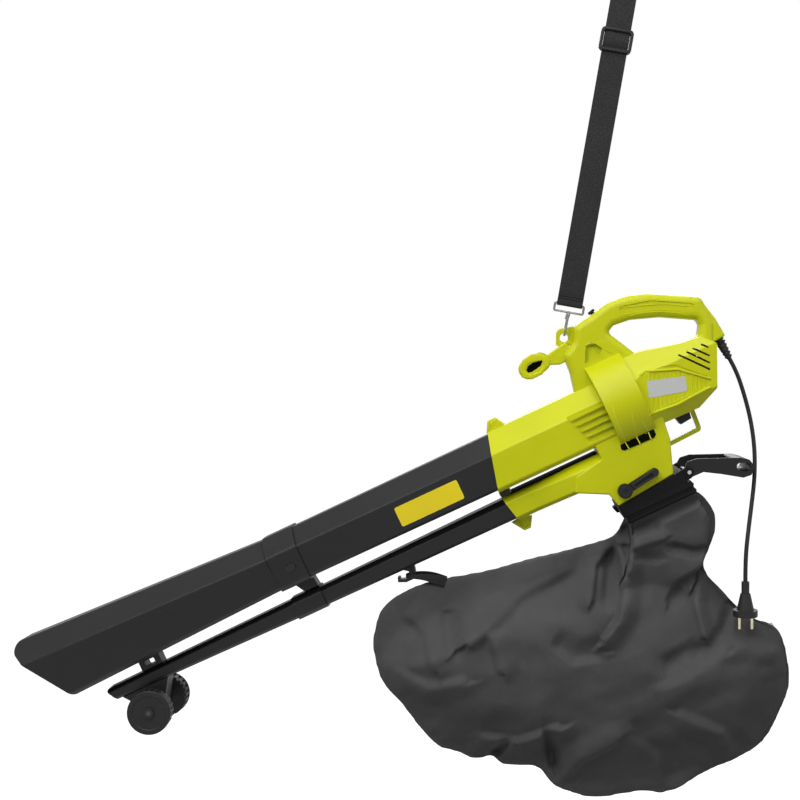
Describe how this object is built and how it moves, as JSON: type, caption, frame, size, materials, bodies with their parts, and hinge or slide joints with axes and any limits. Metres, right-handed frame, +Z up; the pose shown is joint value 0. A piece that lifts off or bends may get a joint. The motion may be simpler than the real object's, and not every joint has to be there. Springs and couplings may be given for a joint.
{
  "type": "leaf blower",
  "caption": "Hand-held electric leaf blower and vacuum with twin tubes, wheeled nozzle, collection bag, strap and lead.",
  "frame": {"origin": "centre of the main grip", "axes": "+Z up as the tool is carried, +X from the nozzle towards the grip, +Y across to the tool's right side"},
  "size_m": [1.1901, 0.148, 1.2648],
  "materials": {
    "housing_plastic": "satin",
    "black_plastic": "satin",
    "dark_plastic": "matte",
    "wheel_plastic": "matte",
    "bag_fabric": "matte",
    "strap_webbing": "matte",
    "plated_steel": "polished",
    "plain_steel": "satin",
    "cord_rubber": "satin",
    "pin_brass": "polished",
    "coil_metal": "satin",
    "plate_film": "satin",
    "label_film": "satin"
  },
  "bodies": {
    "machine": {"housing_left": "housing_plastic", "housing_right": "housing_plastic", "rear_suction_tube": "black_plastic", "front_suction_tube": "black_plastic", "rear_blower_tube": "black_plastic", "front_blower_tube": "black_plastic", "middle_tube_clip": "black_plastic", "front_tube_clip": "black_plastic", "wheel_bracket": "dark_plastic", "wheel_axle": "plain_steel", "axle_caps": "dark_plastic", "bag_collar": "black_plastic", "guide_handle_pin": "plain_steel", "collection_bag": "bag_fabric", "bag_hook": "dark_plastic", "bag_loop": "strap_webbing", "zip_pull": "plain_steel", "switch_block": "dark_plastic", "cord_clamp": "dark_plastic", "cord_hook": "dark_plastic", "tube_interlock": "dark_plastic", "cord_gland": "cord_rubber", "power_cord": "cord_rubber", "plug": "dark_plastic", "plug_pins": "pin_brass", "rating_plate": "plate_film", "tube_label": "label_film", "housing_screws": "plain_steel", "fan_back_plate": "dark_plastic", "motor_bearings": "plain_steel", "stator": "plain_steel", "field_coils": "coil_metal", "motor_mounts": "dark_plastic", "bearing_plate": "dark_plastic", "brush_holders": "dark_plastic", "carbon_brushes": "dark_plastic"},
    "rotor": {"motor_shaft": "plain_steel", "impeller": "dark_plastic", "impeller_nut": "plain_steel", "armature": "plain_steel", "armature_windings": "coil_metal", "commutator": "coil_metal"},
    "left_wheel": {"wheel_left": "wheel_plastic"},
    "right_wheel": {"wheel_right": "wheel_plastic"},
    "selector": {"mode_selector": "black_plastic", "diverter_flap": "dark_plastic"},
    "guide": {"guide_handle": "black_plastic"},
    "switch": {"power_switch": "black_plastic"},
    "lock_button": {"tube_lock_button": "dark_plastic"},
    "hook": {"snap_hook": "plated_steel"},
    "gate": {"hook_gate": "plated_steel"},
    "strap": {"strap_bail": "plated_steel", "shoulder_strap": "strap_webbing"},
    "slider": {"strap_slider": "black_plastic"}
  },
  "joints": [
    {"name": "rotor_spin", "type": "hinge", "parent": "machine", "child": "rotor", "pos_m": [-0.04656, 0, -0.1486], "axis": [0.9063, 0, 0.4226], "continuous": true},
    {"name": "left_wheel_spin", "type": "hinge", "parent": "machine", "child": "left_wheel", "pos_m": [-0.76349, 0, -0.61531], "axis": [0, 1, 0], "continuous": true},
    {"name": "right_wheel_spin", "type": "hinge", "parent": "machine", "child": "right_wheel", "pos_m": [-0.76349, 0, -0.61531], "axis": [0, 1, 0], "continuous": true},
    {"name": "selector_turn", "type": "hinge", "parent": "machine", "child": "selector", "pos_m": [-0.04479, 0, -0.28018], "axis": [0, -1, 0], "range_deg": [0, 55]},
    {"name": "guide_swing", "type": "hinge", "parent": "machine", "child": "guide", "pos_m": [0.05393, 0, -0.2529], "axis": [0, -1, 0], "range_deg": [0, 35]},
    {"name": "switch_slide", "type": "slide", "parent": "machine", "child": "switch", "axis": [0.7767, 0, 0.6298], "range_m": [-0.004, 0.004]},
    {"name": "button_press", "type": "slide", "parent": "machine", "child": "lock_button", "axis": [0, 1, 0], "range_m": [0, 0.0035], "stiffness_N_per_m": 600, "springref_m": -0.002},
    {"name": "hook_swing", "type": "hinge", "parent": "machine", "child": "hook", "pos_m": [-0.13419, 0, -0.04823], "axis": [0, 1, 0], "range_deg": [-75, 5]},
    {"name": "gate_open", "type": "hinge", "parent": "hook", "child": "gate", "pos_m": [-0.12865, 0.011, -0.01682], "axis": [-0.9848, 0, 0.1736], "range_deg": [0, 8], "stiffness_Nm_per_rad": 0.2, "springref_deg": -17.19},
    {"name": "bail_swivel", "type": "hinge", "parent": "hook", "child": "strap", "pos_m": [-0.13419, 0, -0.04823], "axis": [0.1736, 0, 0.9848], "continuous": true},
    {"name": "slider_move", "type": "slide", "parent": "strap", "child": "slider", "axis": [0.1736, 0, 0.9848], "range_m": [-0.15, 0.03]}
  ]
}
